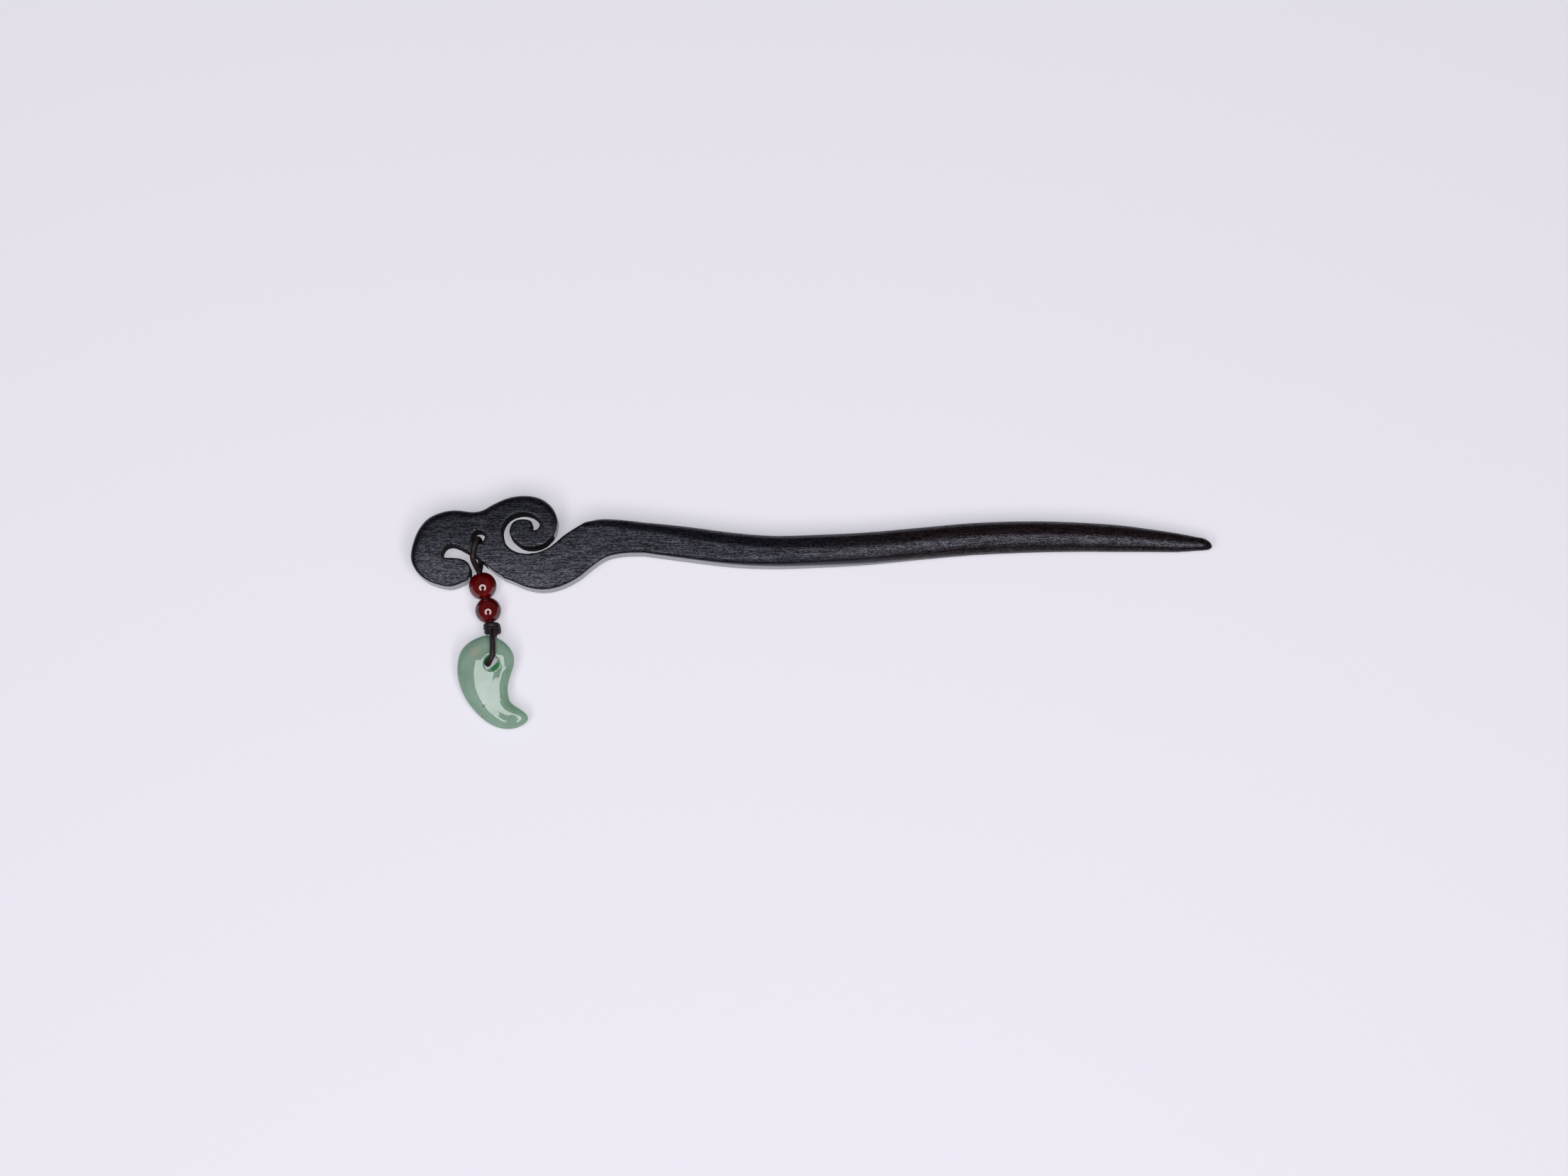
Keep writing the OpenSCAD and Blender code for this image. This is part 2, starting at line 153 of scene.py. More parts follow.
# ---- settings ----
class StageSettings(bpy.types.PropertyGroup):
    floor_colour: FloatVectorProperty(
        name="Floor colour", description="Colour of the pale floor", subtype="COLOR",
        size=3, min=0, max=1, default=linear("aaa8b0")[:3])
    camera_distance: FloatProperty(
        name="Camera distance", description="Distance from the camera to the object",
        default=1.0, min=0.2, unit="LENGTH")
    camera_tilt: FloatProperty(
        name="Camera tilt", description="Tilt of the camera away from straight above",
        default=math.radians(8), min=0, max=math.pi / 2, unit="ROTATION")
    lens: FloatProperty(
        name="Lens", description="Focal length of the camera", default=102.53, min=10,
        unit="CAMERA")
    ring_power: FloatProperty(
        name="Ring light", description="Brightness of the big ring light overhead",
        default=8.6, min=0)
    table_glow: FloatProperty(
        name="Table glow", description="Brightness of the lamp under the frosted table top",
        default=0.32, min=0)
    room_light: FloatProperty(
        name="Room light", description="Brightness of the dim room", default=0.1, min=0)


class CordSettings(bpy.types.PropertyGroup):
    diameter: FloatProperty(
        name="Diameter", description="Diameter of the braided cord", default=1.3 * MM,
        min=0.3 * MM, precision=5, unit="LENGTH")
    squeezed: FloatProperty(
        name="Squeezed diameter", description="Diameter of one strand of cord inside a bead",
        default=1.04 * MM, min=0.3 * MM, precision=5, unit="LENGTH")
    lay: FloatProperty(
        name="Braid lay", description="Length in which a thread of the braid goes once round",
        default=3.6 * MM, min=1 * MM, precision=5, unit="LENGTH")
    colour: FloatVectorProperty(
        name="Colour", description="Colour of the braid's threads", subtype="COLOR",
        size=3, min=0, max=1, default=linear("1b1111")[:3])


class StickSettings(bpy.types.PropertyGroup):
    voxel: FloatProperty(
        name="Detail", description="Size of the surface's small faces", default=0.29 * MM,
        min=0.1 * MM, precision=5, unit="LENGTH")
    softening: IntProperty(
        name="Softening", description="Rounds of sanding that soften the edges", default=3,
        min=0, max=20)
    grain_width: FloatProperty(
        name="Grain width", description="Width of one streak of the grain", default=0.3 * MM,
        min=0.05 * MM, precision=5, unit="LENGTH")


class BeadSettings(bpy.types.PropertyGroup):
    upper_diameter: FloatProperty(
        name="Upper bead", description="Diameter of the upper bead", default=6.2 * MM,
        min=1 * MM, precision=5, unit="LENGTH")
    lower_diameter: FloatProperty(
        name="Lower bead", description="Diameter of the lower bead", default=5.8 * MM,
        min=1 * MM, precision=5, unit="LENGTH")
    bore: FloatProperty(
        name="Bore", description="Diameter of the hole through each bead", default=2.2 * MM,
        min=0.2 * MM, precision=5, unit="LENGTH")
    lip: FloatProperty(
        name="Lip", description="Radius of the polished lip of a bead's hole", default=0.22 * MM,
        min=0.02 * MM, precision=5, unit="LENGTH")


class PendantSettings(bpy.types.PropertyGroup):
    voxel: FloatProperty(
        name="Detail", description="Size of the surface's small faces", default=0.13 * MM,
        min=0.05 * MM, precision=5, unit="LENGTH")
    softening: IntProperty(
        name="Softening", description="Rounds of polishing that soften the surface", default=12,
        min=0, max=40)
    slope: FloatProperty(
        name="Slope of the hole", description="How far the lower right of the hole slopes inwards",
        default=1.8 * MM, min=0, max=1.8 * MM, precision=5, unit="LENGTH")


# ---- helpers ----
def add_node(tree, kind, settings=None, stops=(), **links):
    """Adds a node. Settings are the node's own, and stops are a colour ramp's pairs of place and
    colour. Each link names an input, or gives its number as _0, _1 and so on, and holds the
    input's value or the socket that it reads."""
    made = tree.nodes.new("ShaderNode" + kind)
    for name, value in (settings or {}).items():
        setattr(made, name, value)
    if stops:
        elements = made.color_ramp.elements
        while len(elements) < len(stops):
            elements.new(0.5)
        for element, (place, colour) in zip(elements, stops):
            element.position, element.color = place, colour
    for name, value in links.items():
        key = int(name[1:]) if name[0] == "_" else name.replace("_", " ")
        if isinstance(value, bpy.types.NodeSocket):
            tree.links.new(value, made.inputs[key])
        else:
            made.inputs[key].default_value = value
    return made


def new_material(name):
    """A material with an empty node tree and its output."""
    material = bpy.data.materials.new(name)
    material.use_nodes = True
    material.node_tree.nodes.clear()
    return material, material.node_tree


def select_only(*objects):
    """Leaves only these objects selected, the first of them active."""
    bpy.ops.object.select_all(action="DESELECT")
    for obj in objects:
        obj.select_set(True)
    bpy.context.view_layer.objects.active = objects[0]


def apply_modifier(obj, kind, **settings):
    """Adds a modifier to an object and applies it."""
    select_only(obj)
    modifier = obj.modifiers.new(kind.title(), kind)
    for name, value in settings.items():
        setattr(modifier, name, value)
    bpy.ops.object.modifier_apply(modifier=modifier.name)


def copy_of_node(node, name):
    """A new object with a copy of a CAD node's mesh, its doubles merged."""
    obj = bpy.data.objects.new(name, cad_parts[node].data.copy())
    bpy.context.scene.collection.objects.link(obj)
    obj.data.materials.clear()
    select_only(obj)
    bpy.ops.object.mode_set(mode="EDIT")
    bpy.ops.mesh.select_all(action="SELECT")
    bpy.ops.mesh.remove_doubles(threshold=SAME_CAD_POINT)
    bpy.ops.object.mode_set(mode="OBJECT")
    if obj.data.has_custom_normals:
        bpy.ops.mesh.customdata_custom_splitnormals_clear()
    return obj


def carve_smooth(obj, voxel, softening):
    """Rebuilds a closed mesh from small even faces and sands it."""
    apply_modifier(obj, "REMESH", mode="VOXEL", voxel_size=voxel)
    apply_modifier(obj, "SMOOTH", factor=0.5, iterations=softening)
    select_only(obj)
    bpy.ops.object.shade_smooth()


def on_string(distance, right=0.0, up=0.0):
    """A point beside the string of beads, in mm."""
    return UPPER_BEAD_AT + distance * STRING + right * RIGHT + up * UP


# ---- cord making ----
def part_way(a, b, c, d, t):
    """The value a share t of the way from b to c, on a smooth curve through a, b, c and d."""
    return 0.5 * (2 * b + (c - a) * t + (2 * a - 5 * b + 4 * c - d) * t * t
                  + (3 * b - a - 3 * c + d) * t ** 3)


def flowing_line(points, step):
    """Points about a step apart along one smooth curve through (place, radius) pairs."""
    fine = []
    last = len(points) - 1
    for i in range(last):
        near = [points[max(0, min(last, k))] for k in range(i - 1, i + 3)]
        for k in range(SPAN_POINTS):
            t = k / SPAN_POINTS
            fine.append((part_way(*(p for p, r in near), t), part_way(*(r for p, r in near), t)))
    fine.append(points[-1])
    along = [0.0]
    for (a, _), (b, _) in zip(fine, fine[1:]):
        along.append(along[-1] + (b - a).length)
    count = round(along[-1] / step)
    line, i = [], 0
    for n in range(count + 1):
        want = along[-1] * n / count
        while i < len(fine) - 2 and along[i + 1] < want:
            i += 1
        t = (want - along[i]) / max(along[i + 1] - along[i], 1e-12)
        (a, ra), (b, rb) = fine[i], fine[i + 1]
        line.append((a.lerp(b, t), ra + (rb - ra) * t))
    return line, along[-1]


def thread_height(a, b):
    """Height, 0 to 1, of a two-over-two braid at thread numbers a one way round and b the other.
    A thread is round across, and rises and sinks along the two threads that it passes over."""
    i, j = math.floor(a), math.floor(b)
    across, along = a - i - 0.5, b - j
    cell = (i + j) % 4
    if cell > 1:
        across, along = b - j - 0.5, a - i
    share = (along + cell % 2) / 2
    return math.sqrt(1 - 3.8 * across * across) * (0.5 + 0.5 * math.sin(math.pi * share))


def braided_tube(name, route, lay):
    """A closed tube with the relief of a braid along a route of (place, radius) pairs in metres.
    Gives the tube, the path of its middle and its length."""
    line, length = flowing_line(route, lay / BRAID_THREADS / RINGS_PER_CROSSING)
    mesh = bmesh.new()
    height = mesh.verts.layers.float.new("braid_height")
    side, rings, gone = None, [], 0.0
    for n, (place, radius) in enumerate(line):
        ahead = line[min(n + 1, len(line) - 1)][0] - line[max(n - 1, 0)][0]
        ahead.normalize()
        if side is None:
            side = ahead.orthogonal()
        side = (side - side.dot(ahead) * ahead).normalized()
        other = ahead.cross(side)
        ring = []
        for k in range(CORD_SIDES):
            turn = k / CORD_SIDES
            lift = thread_height(
                BRAID_THREADS * (turn - gone / lay), BRAID_THREADS * (turn + gone / lay))
            angle = 2 * math.pi * turn
            out = math.cos(angle) * side + math.sin(angle) * other
            share = HOLLOW + (1 - HOLLOW) * lift
            vertex = mesh.verts.new(place + radius * share * out)
            vertex[height] = lift
            ring.append(vertex)
        rings.append(ring)
        if n + 1 < len(line):
            gone += (line[n + 1][0] - place).length
    for low, high in zip(rings, rings[1:]):
        for k in range(CORD_SIDES):
            after = (k + 1) % CORD_SIDES
            mesh.faces.new((low[k], low[after], high[after], high[k]))
    mesh.faces.new(reversed(rings[0]))
    mesh.faces.new(rings[-1])
    made = bpy.data.meshes.new(name)
    mesh.to_mesh(made)
    mesh.free()
    obj = bpy.data.objects.new(name, made)
    bpy.context.scene.collection.objects.link(obj)
    select_only(obj)
    bpy.ops.object.shade_smooth()
    path = [place for place, radius in line[::RINGS_PER_PATH_POINT]] + [line[-1][0]]
    return obj, path, length


# ---- materials ----
def spots(tree, place, spots_at):
    """One value that is 1 at the middle of each round spot and fades to 0 at its edge."""
    total = None
    flat = add_node(
        tree, "VectorMath", {"operation": "MULTIPLY"}, _0=place, _1=(1, 1, 0)).outputs["Vector"]
    for x, y, radius in spots_at:
        away = add_node(
            tree, "VectorMath", {"operation": "DISTANCE"}, _0=flat,
            _1=(x * MM, y * MM, 0)).outputs["Value"]
        share = add_node(
            tree, "MapRange", {"interpolation_type": "SMOOTHSTEP"}, Value=away, From_Min=0,
            From_Max=radius * MM, To_Min=1, To_Max=0).outputs["Result"]
        total = share if total is None else add_node(
            tree, "Math", {"operation": "MAXIMUM"}, _0=total, _1=share).outputs["Value"]
    return total


def braided_cord_material(colour):
    """Braided polyester cord with a little wax. Its colour has painted highlights, short pinkish
    dashes on the threads' crowns, and painted shade close to black in the hollows between them."""
    material, tree = new_material("braided_polyester_cord")
    height = add_node(tree, "Attribute", {"attribute_name": "braid_height"}).outputs["Fac"]
    painted_hollow_shade = tuple(c * 0.25 for c in colour) + (1,)
    painted_crown_highlight = tuple(min(1, c * gain) for c, gain in zip(colour, (2.4, 2.2, 2.4))) + (1,)
    place = add_node(tree, "TexCoord").outputs["Object"]
    # Single filaments are far too fine to show, so they are drawn 0.08 mm apart
    fibre = add_node(tree, "TexNoise", Vector=place, Scale=12 / MM, Detail=2).outputs["Fac"]
    # The tone is painted from the braid's height: painted shade in the hollows, painted highlight
    # on the crowns
    tone = add_node(
        tree, "ValToRGB", Fac=height,
        stops=((0.35, painted_hollow_shade), (0.8, tuple(colour) + (1,)), (1, painted_crown_highlight)))
    bump = add_node(tree, "Bump", Strength=0.25, Distance=0.03 * MM, Height=fibre)
    shader = add_node(
        tree, "BsdfPrincipled", Base_Color=tone.outputs["Color"], Roughness=0.45, IOR=1.45,
        Specular_IOR_Level=0.3, Normal=bump.outputs["Normal"])
    add_node(tree, "OutputMaterial", Surface=shader.outputs["BSDF"])
    return material


def blackwood_material(grain_width):
    """Black ebony-like wood, carved, sanded and oiled. Its ground is close to black, and fine
    raised fibres catch the light as short silvery, slightly wavy streaks along the grain. The far
    shaft is browner and faintly rippled across."""
    material, tree = new_material("oiled_carved_blackwood")
    place = add_node(tree, "TexCoord").outputs["Object"]
    # The grain wanders by up to 0.5 mm in waves about 1 mm long
    wander = add_node(tree, "TexNoise", Vector=place, Scale=0.9 / MM, Detail=2)
    bent = add_node(
        tree, "VectorMath", {"operation": "MULTIPLY_ADD"}, _0=wander.outputs["Color"],
        _1=(0, 0.5 * MM, 0), _2=place).outputs["Vector"]
    # A streak and its gap take up nearly two cells of the noise. A streak is some four times as
    # long as it is wide, and longer ones run through them
    along = add_node(tree, "Mapping", Vector=bent, Scale=(0.26, 1, 1)).outputs["Vector"]
    fine = add_node(
        tree, "TexNoise", Vector=along, Scale=1.9 / grain_width, Detail=2,
        Roughness=0.6).outputs["Fac"]
    long_along = add_node(tree, "Mapping", Vector=bent, Scale=(0.05, 1, 1)).outputs["Vector"]
    long = add_node(
        tree, "TexNoise", Vector=long_along, Scale=1.7 / grain_width, Detail=2).outputs["Fac"]
    both = add_node(
        tree, "Mix", {"data_type": "FLOAT"}, _0=0.4, _2=fine, _3=long).outputs["Result"]
    streak = add_node(
        tree, "MapRange", {"interpolation_type": "SMOOTHSTEP"}, Value=both, From_Min=0.43,
        From_Max=0.63).outputs["Result"]
    split = add_node(tree, "SeparateXYZ", Vector=place)
    far = add_node(
        tree, "MapRange", {"interpolation_type": "SMOOTHSTEP"}, Value=split.outputs["X"],
        From_Min=-12 * MM, From_Max=30 * MM).outputs["Result"]
    # The tool has left ripples about 0.7 mm apart across the shaft
    cross_place = add_node(
        tree, "Mapping", Vector=bent, Rotation=(0, 0, math.radians(24)),
        Scale=(1, 0.3, 0.6)).outputs["Vector"]
    ripples = add_node(
        tree, "TexNoise", Vector=cross_place, Scale=1.5 / MM, Detail=2,
        Roughness=0.5).outputs["Fac"]
    ground = add_node(
        tree, "Mix", {"data_type": "RGBA"}, _0=far, _6=linear("050508"),
        _7=linear("090506")).outputs[2]
    fibre = add_node(
        tree, "Mix", {"data_type": "RGBA"}, _0=far, _6=linear("17181f"),
        _7=linear("1e1315")).outputs[2]
    wood = add_node(
        tree, "Mix", {"data_type": "RGBA"}, _0=streak, _6=ground, _7=fibre).outputs[2]
    wood_shine = add_node(
        tree, "MapRange", Value=streak, To_Min=0.07, To_Max=0.5).outputs["Result"]
    # The saw-cut walls of the slits are painted near black and dull, as painted shade, and the
    # head's outer edge is buffed on the side of the beads
    low = add_node(
        tree, "MapRange", {"interpolation_type": "SMOOTHSTEP"}, Value=split.outputs["Z"],
        From_Min=6.7 * MM, From_Max=6.2 * MM).outputs["Result"]
    near_slit = add_node(
        tree, "MapRange", {"interpolation_type": "SMOOTHSTEP"},
        Value=spots(tree, place, SHADED_SLITS), From_Min=0.04, From_Max=0.1).outputs["Result"]
    painted_slit_shade = add_node(
        tree, "Math", {"operation": "MULTIPLY"}, _0=low, _1=near_slit).outputs["Value"]
    near = add_node(tree, "Math", {"operation": "SUBTRACT"}, _0=1.0, _1=far).outputs["Value"]
    normal = add_node(tree, "NewGeometry").outputs["Normal"]
    facing = add_node(tree, "SeparateXYZ", Vector=normal)
    front = add_node(
        tree, "MapRange", {"interpolation_type": "SMOOTHSTEP"}, Value=facing.outputs["Y"],
        From_Min=0.1, From_Max=-0.5, To_Min=0, To_Max=1).outputs["Result"]
    near_front = add_node(
        tree, "Math", {"operation": "MULTIPLY"}, _0=front, _1=near).outputs["Value"]
    edge = add_node(
        tree, "Math", {"operation": "MULTIPLY"}, _0=low, _1=near_front).outputs["Value"]
    edge_roughness = add_node(
        tree, "MapRange", Value=edge, To_Min=0.3, To_Max=0.16).outputs["Result"]
    roughness = add_node(
        tree, "Mix", {"data_type": "FLOAT"}, _0=painted_slit_shade, _2=edge_roughness, _3=0.7).outputs["Result"]
    edge_shine = add_node(
        tree, "Mix", {"data_type": "FLOAT"}, _0=edge, _2=wood_shine, _3=0.8).outputs["Result"]
    shine = add_node(
        tree, "Mix", {"data_type": "FLOAT"}, _0=painted_slit_shade, _2=edge_shine, _3=0.03).outputs["Result"]
    # Painted shade: near black replaces the wood's colour on the slits' walls
    tone = add_node(
        tree, "Mix", {"data_type": "RGBA"}, _0=painted_slit_shade, _6=wood, _7=linear("040406")).outputs[2]
    ripple_share = add_node(
        tree, "Math", {"operation": "MULTIPLY"}, _0=ripples, _1=far).outputs["Value"]
    grain_bump = add_node(
        tree, "Bump", Strength=0.5, Distance=0.05 * MM, Height=fine)
    ripple_bump = add_node(
        tree, "Bump", Strength=0.5, Distance=0.14 * MM, Height=ripple_share,
        Normal=grain_bump.outputs["Normal"])
    # Sanding has left the head very slightly domed
    from_top = add_node(
        tree, "VectorMath", {"operation": "SUBTRACT"}, _0=place,
        _1=[part * MM for part in HEAD_MIDDLE]).outputs["Vector"]
    flattened = add_node(
        tree, "VectorMath", {"operation": "MULTIPLY"}, _0=from_top,
        _1=(0.35, 1, 0)).outputs["Vector"]
    squared = add_node(
        tree, "VectorMath", {"operation": "DOT_PRODUCT"}, _0=flattened, _1=flattened)
    head_share = add_node(
        tree, "MapRange", {"interpolation_type": "SMOOTHSTEP"}, Value=split.outputs["X"],
        From_Min=-56 * MM, From_Max=-40 * MM, To_Min=-4.5, To_Max=0).outputs["Result"]
    dome = add_node(
        tree, "Math", {"operation": "MULTIPLY"}, _0=squared.outputs["Value"],
        _1=head_share).outputs["Value"]
    dome_bump = add_node(
        tree, "Bump", Strength=1, Distance=1, Height=dome, Normal=ripple_bump.outputs["Normal"])
    shader = add_node(
        tree, "BsdfPrincipled", Base_Color=tone, Roughness=roughness, IOR=1.5,
        Specular_IOR_Level=shine, Specular_Tint=linear("e7ebff"),
        Normal=dome_bump.outputs["Normal"])
    add_node(tree, "OutputMaterial", Surface=shader.outputs["BSDF"])
    return material


def agate_material():
    """Red agate, tumbled and polished to a glassy surface. It is deep red and lets some light
    through, so that its far side glows, with faint cloudy bands."""
    material, tree = new_material("polished_red_agate")
    place = add_node(tree, "TexCoord").outputs["Object"]
    banded = add_node(
        tree, "Mapping", Vector=place, Rotation=(0.4, 0.2, 0.7),
        Scale=(1, 0.4, 1)).outputs["Vector"]
    # The bands are some 2.4 mm apart
    clouds = add_node(tree, "TexNoise", Vector=banded, Scale=0.42 / MM, Detail=3).outputs["Fac"]
    tone = add_node(
        tree, "ValToRGB", Fac=clouds,
        stops=((0.3, linear("400000")), (0.55, linear("540000")), (0.75, linear("6e0301"))))
    shader = add_node(
        tree, "BsdfPrincipled", Base_Color=tone.outputs["Color"], Roughness=0.04, IOR=1.54,
        Specular_IOR_Level=0.8)
    through = add_node(tree, "BsdfTranslucent", Color=linear("a00800"))
    mixed = add_node(
        tree, "MixShader", Fac=0.2, _1=shader.outputs["BSDF"], _2=through.outputs["BSDF"])
    add_node(tree, "OutputMaterial", Surface=mixed.outputs["Shader"])
    return material


def jade_material():
    """Pale green jade, shaped and polished. It is cloudy and lets light in, so thin edges look
    greyer and lighter, and a few brown iron specks lie under the polish."""
    material, tree = new_material("polished_pale_jade")
    place = add_node(tree, "TexCoord").outputs["Object"]
    # Clouds some 6 mm across, with a finer mottle of about 1 mm
    clouds = add_node(
        tree, "TexNoise", Vector=place, Scale=0.17 / MM, Detail=4, Roughness=0.55).outputs["Fac"]
    mottle = add_node(tree, "TexNoise", Vector=place, Scale=0.9 / MM, Detail=3).outputs["Fac"]
    tone = add_node(
        tree, "ValToRGB", Fac=clouds,
        stops=((0.3, linear("7c8d85")), (0.5, linear("899b93")), (0.7, linear("9aaaa4"))))
    fine = add_node(
        tree, "ValToRGB", Fac=mottle, stops=((0.35, (0.86, 0.86, 0.86, 1)), (0.65, (1, 1, 1, 1))))
    mottled = add_node(
        tree, "Mix", {"data_type": "RGBA", "blend_type": "MULTIPLY"}, _0=0.5,
        _6=tone.outputs["Color"], _7=fine.outputs["Color"]).outputs[2]
    soft_pink = add_node(
        tree, "Math", {"operation": "MULTIPLY"}, _0=spots(tree, place, BLUSH),
        _1=0.45).outputs["Value"]
    blushed = add_node(
        tree, "Mix", {"data_type": "RGBA"}, _0=soft_pink, _6=mottled,
        _7=linear("c2a08f")).outputs[2]
    ironed = add_node(
        tree, "Mix", {"data_type": "RGBA"}, _0=spots(tree, place, IRON_SPECKS), _6=blushed,
        _7=linear("6a5a2a")).outputs[2]
    # The wall of the hole is painted the purest green, a painted glow for the light that reaches
    # it from within
    drilled = spots(tree, place, [(*PENDANT_HOLE[:2], HOLE_RADIUS + HOLE_SPREAD)])
    in_hole = add_node(
        tree, "MapRange", {"interpolation_type": "SMOOTHSTEP"}, Value=drilled, From_Min=0.2,
        From_Max=0.3).outputs["Result"]
    height = add_node(tree, "SeparateXYZ", Vector=place).outputs["Z"]
    lower = add_node(
        tree, "MapRange", {"interpolation_type": "SMOOTHSTEP"}, Value=height,
        From_Min=5.9 * MM, From_Max=5.3 * MM).outputs["Result"]
    wall = add_node(
        tree, "Math", {"operation": "MULTIPLY"}, _0=in_hole, _1=lower).outputs["Value"]
    # Painted glow: bright green on the lower wall of the hole
    hole_glow_painted = add_node(
        tree, "Mix", {"data_type": "RGBA"}, _0=wall, _6=ironed,
        _7=linear("55c481")).outputs[2]
    dotted = add_node(
        tree, "Mix", {"data_type": "RGBA"}, _0=spots(tree, place, DARK_DOTS), _6=hole_glow_painted,
        _7=linear("2c3a30")).outputs[2]
    shader = add_node(
        tree, "BsdfPrincipled", Base_Color=dotted, Roughness=0.05, IOR=1.61)
    through = add_node(tree, "BsdfTranslucent", Color=linear("9fe0b2"))
    mixed = add_node(
        tree, "MixShader", Fac=0.4, _1=shader.outputs["BSDF"], _2=through.outputs["BSDF"])
    add_node(tree, "OutputMaterial", Surface=mixed.outputs["Shader"])
    return material


def table_material(colour, glow):
    """Frosted white acrylic sheet of a light table, matt and plain. A weak lamp below lights it
    through, which keeps the shadows on it pale."""
    material, tree = new_material("frosted_white_acrylic")
    place = add_node(tree, "TexCoord").outputs["Object"]
    # Its tone drifts slightly over a third of a metre
    shade = add_node(tree, "TexNoise", Vector=place, Scale=3, Detail=1).outputs["Fac"]
    darker = tuple(c * 0.985 for c in colour) + (1,)
    tone = add_node(
        tree, "ValToRGB", Fac=shade, stops=((0.3, darker), (0.7, tuple(colour) + (1,))))
    shader = add_node(
        tree, "BsdfPrincipled", Base_Color=tone.outputs["Color"], Roughness=0.75, IOR=1.45,
        Emission_Color=linear("f9f7ff"), Emission_Strength=glow)
    add_node(tree, "OutputMaterial", Surface=shader.outputs["BSDF"])
    return material


def glowing_cloth(strength):
    """Diffuser cloth of a studio light, lit from behind."""
    material, tree = new_material("lit_diffuser_cloth")
    glow = add_node(tree, "Emission", Color=linear("fffdff"), Strength=strength)
    add_node(tree, "OutputMaterial", Surface=glow.outputs["Emission"])
    return material


# ---- operators ----
class HAIRSTICK_OT_stage(bpy.types.Operator):
    """Sets up the camera, the pale floor, the big ring light and the dim room"""
    bl_idname = "hairstick.stage"
    bl_label = "Stage"

    def execute(self, context):
        settings = context.scene.hairstick_stage
        scene = context.scene
        scene.view_settings.view_transform = "Standard"
        tilt = settings.camera_tilt
        camera = bpy.data.objects.new("camera", bpy.data.cameras.new("camera"))
        scene.collection.objects.link(camera)
        away = Vector((0, -math.sin(tilt), math.cos(tilt)))
        camera.location = VIEW_MIDDLE + settings.camera_distance * away
        camera.rotation_euler = (tilt, 0, 0)
        camera.data.lens = settings.lens
        camera.data.sensor_width = 36
        camera.data.clip_start = 0.01
        scene.camera = camera

        bpy.ops.mesh.primitive_plane_add(size=FLOOR_SIZE, location=(0, 0, -FLOOR_DROP))
        floor = context.object
        floor.name = "floor"
        floor.data.materials.append(table_material(settings.floor_colour, settings.table_glow))

        # The ring light: a wide flat ring overhead, open on the side where the user stands
        bpy.ops.object.select_all(action="DESELECT")
        bpy.ops.mesh.primitive_circle_add(
            vertices=RING_SIDES, radius=RING_OUTER, fill_type="NOTHING")
        ring = context.object
        ring.name = "ring_light"
        bpy.ops.object.mode_set(mode="EDIT")
        bpy.ops.mesh.extrude_region()
        inwards = RING_INNER / RING_OUTER
        bpy.ops.transform.resize(value=(inwards, inwards, 1))
        bpy.ops.mesh.select_all(action="DESELECT")
        bpy.ops.object.mode_set(mode="OBJECT")
        for face in ring.data.polygons:
            toward = math.atan2(face.center.x, -face.center.y)
            face.select = abs(toward) < RING_HALF_OPENING
        bpy.ops.object.mode_set(mode="EDIT")
        bpy.ops.mesh.select_mode(type="FACE")
        bpy.ops.mesh.delete(type="FACE")
        bpy.ops.object.mode_set(mode="OBJECT")
        ring.location = VIEW_MIDDLE + RING_PLACE
        ring.rotation_euler = (RING_TILT, 0, 0)
        ring.data.materials.append(glowing_cloth(settings.ring_power))
        ring.visible_camera = False

        world = bpy.data.worlds.new("dim_room")
        world.use_nodes = True
        back = world.node_tree.nodes["Background"]
        back.inputs["Color"].default_value = linear("f3f7ff")
        back.inputs["Strength"].default_value = settings.room_light
        scene.world = world
        return {"FINISHED"}


class HAIRSTICK_OT_cords(bpy.types.Operator):
    """Braids the doubled cord round the head's web, and the cord of the knot and the pendant"""
    bl_idname = "hairstick.cords"
    bl_label = "Cords"

    def execute(self, context):
        settings = context.scene.hairstick_cord
        full, squeezed = settings.diameter / 2, settings.squeezed / 2
        material = braided_cord_material(settings.colour)

        route = [(on_string(s, **FRONT_STRAND) * MM, squeezed) for s in INSIDE_BEADS]
        route += [(Vector(p) * MM, full) for p in HEAD_ROUTE]
        route += [(on_string(s, **BACK_STRAND) * MM, squeezed) for s in reversed(INSIDE_BEADS)]
        upper, path, length = braided_tube("head_cord", route, settings.lay)
        upper.data.materials.append(material)
        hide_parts("head_loop", "bead_cord")
        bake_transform(upper)

        route = [(on_string(s, up=up) * MM, full) for s, up in OUT_OF_KNOT]
        route += [(Vector(p) * MM, full) for p in PENDANT_ROUTE]
        for (turn, s, r), (turn_2, s_2, r_2) in zip(KNOT_WINDING, KNOT_WINDING[1:]):
            steps = max(1, round((turn_2 - turn) / WINDING_STEP))
            for k in range(steps):
                t = k / steps
                angle = math.radians(turn + t * (turn_2 - turn))
                radius = r + t * (r_2 - r)
                place = on_string(
                    s + t * (s_2 - s), radius * math.cos(angle), radius * math.sin(angle))
                route.append((place * MM, full))
        route.append((on_string(KNOT_MIDDLE) * MM, full))
        lower, path, length = braided_tube("knot_and_pendant_cord", route, settings.lay)
        lower.data.materials.append(material)
        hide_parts("knot", "pendant_loop")
        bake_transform(lower)
        return {"FINISHED"}


class HAIRSTICK_OT_stick(bpy.types.Operator):
    """Carves the stick with its cloud-scroll head from one board and oils it"""
    bl_idname = "hairstick.stick"
    bl_label = "Stick"

    def execute(self, context):
        settings = context.scene.hairstick_stick
        stick = copy_of_node("hair_stick", "carved_stick")
        carve_smooth(stick, settings.voxel, settings.softening)
        stick.data.materials.append(blackwood_material(settings.grain_width))
        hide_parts("hair_stick")
        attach(stick, "stick")
        return {"FINISHED"}


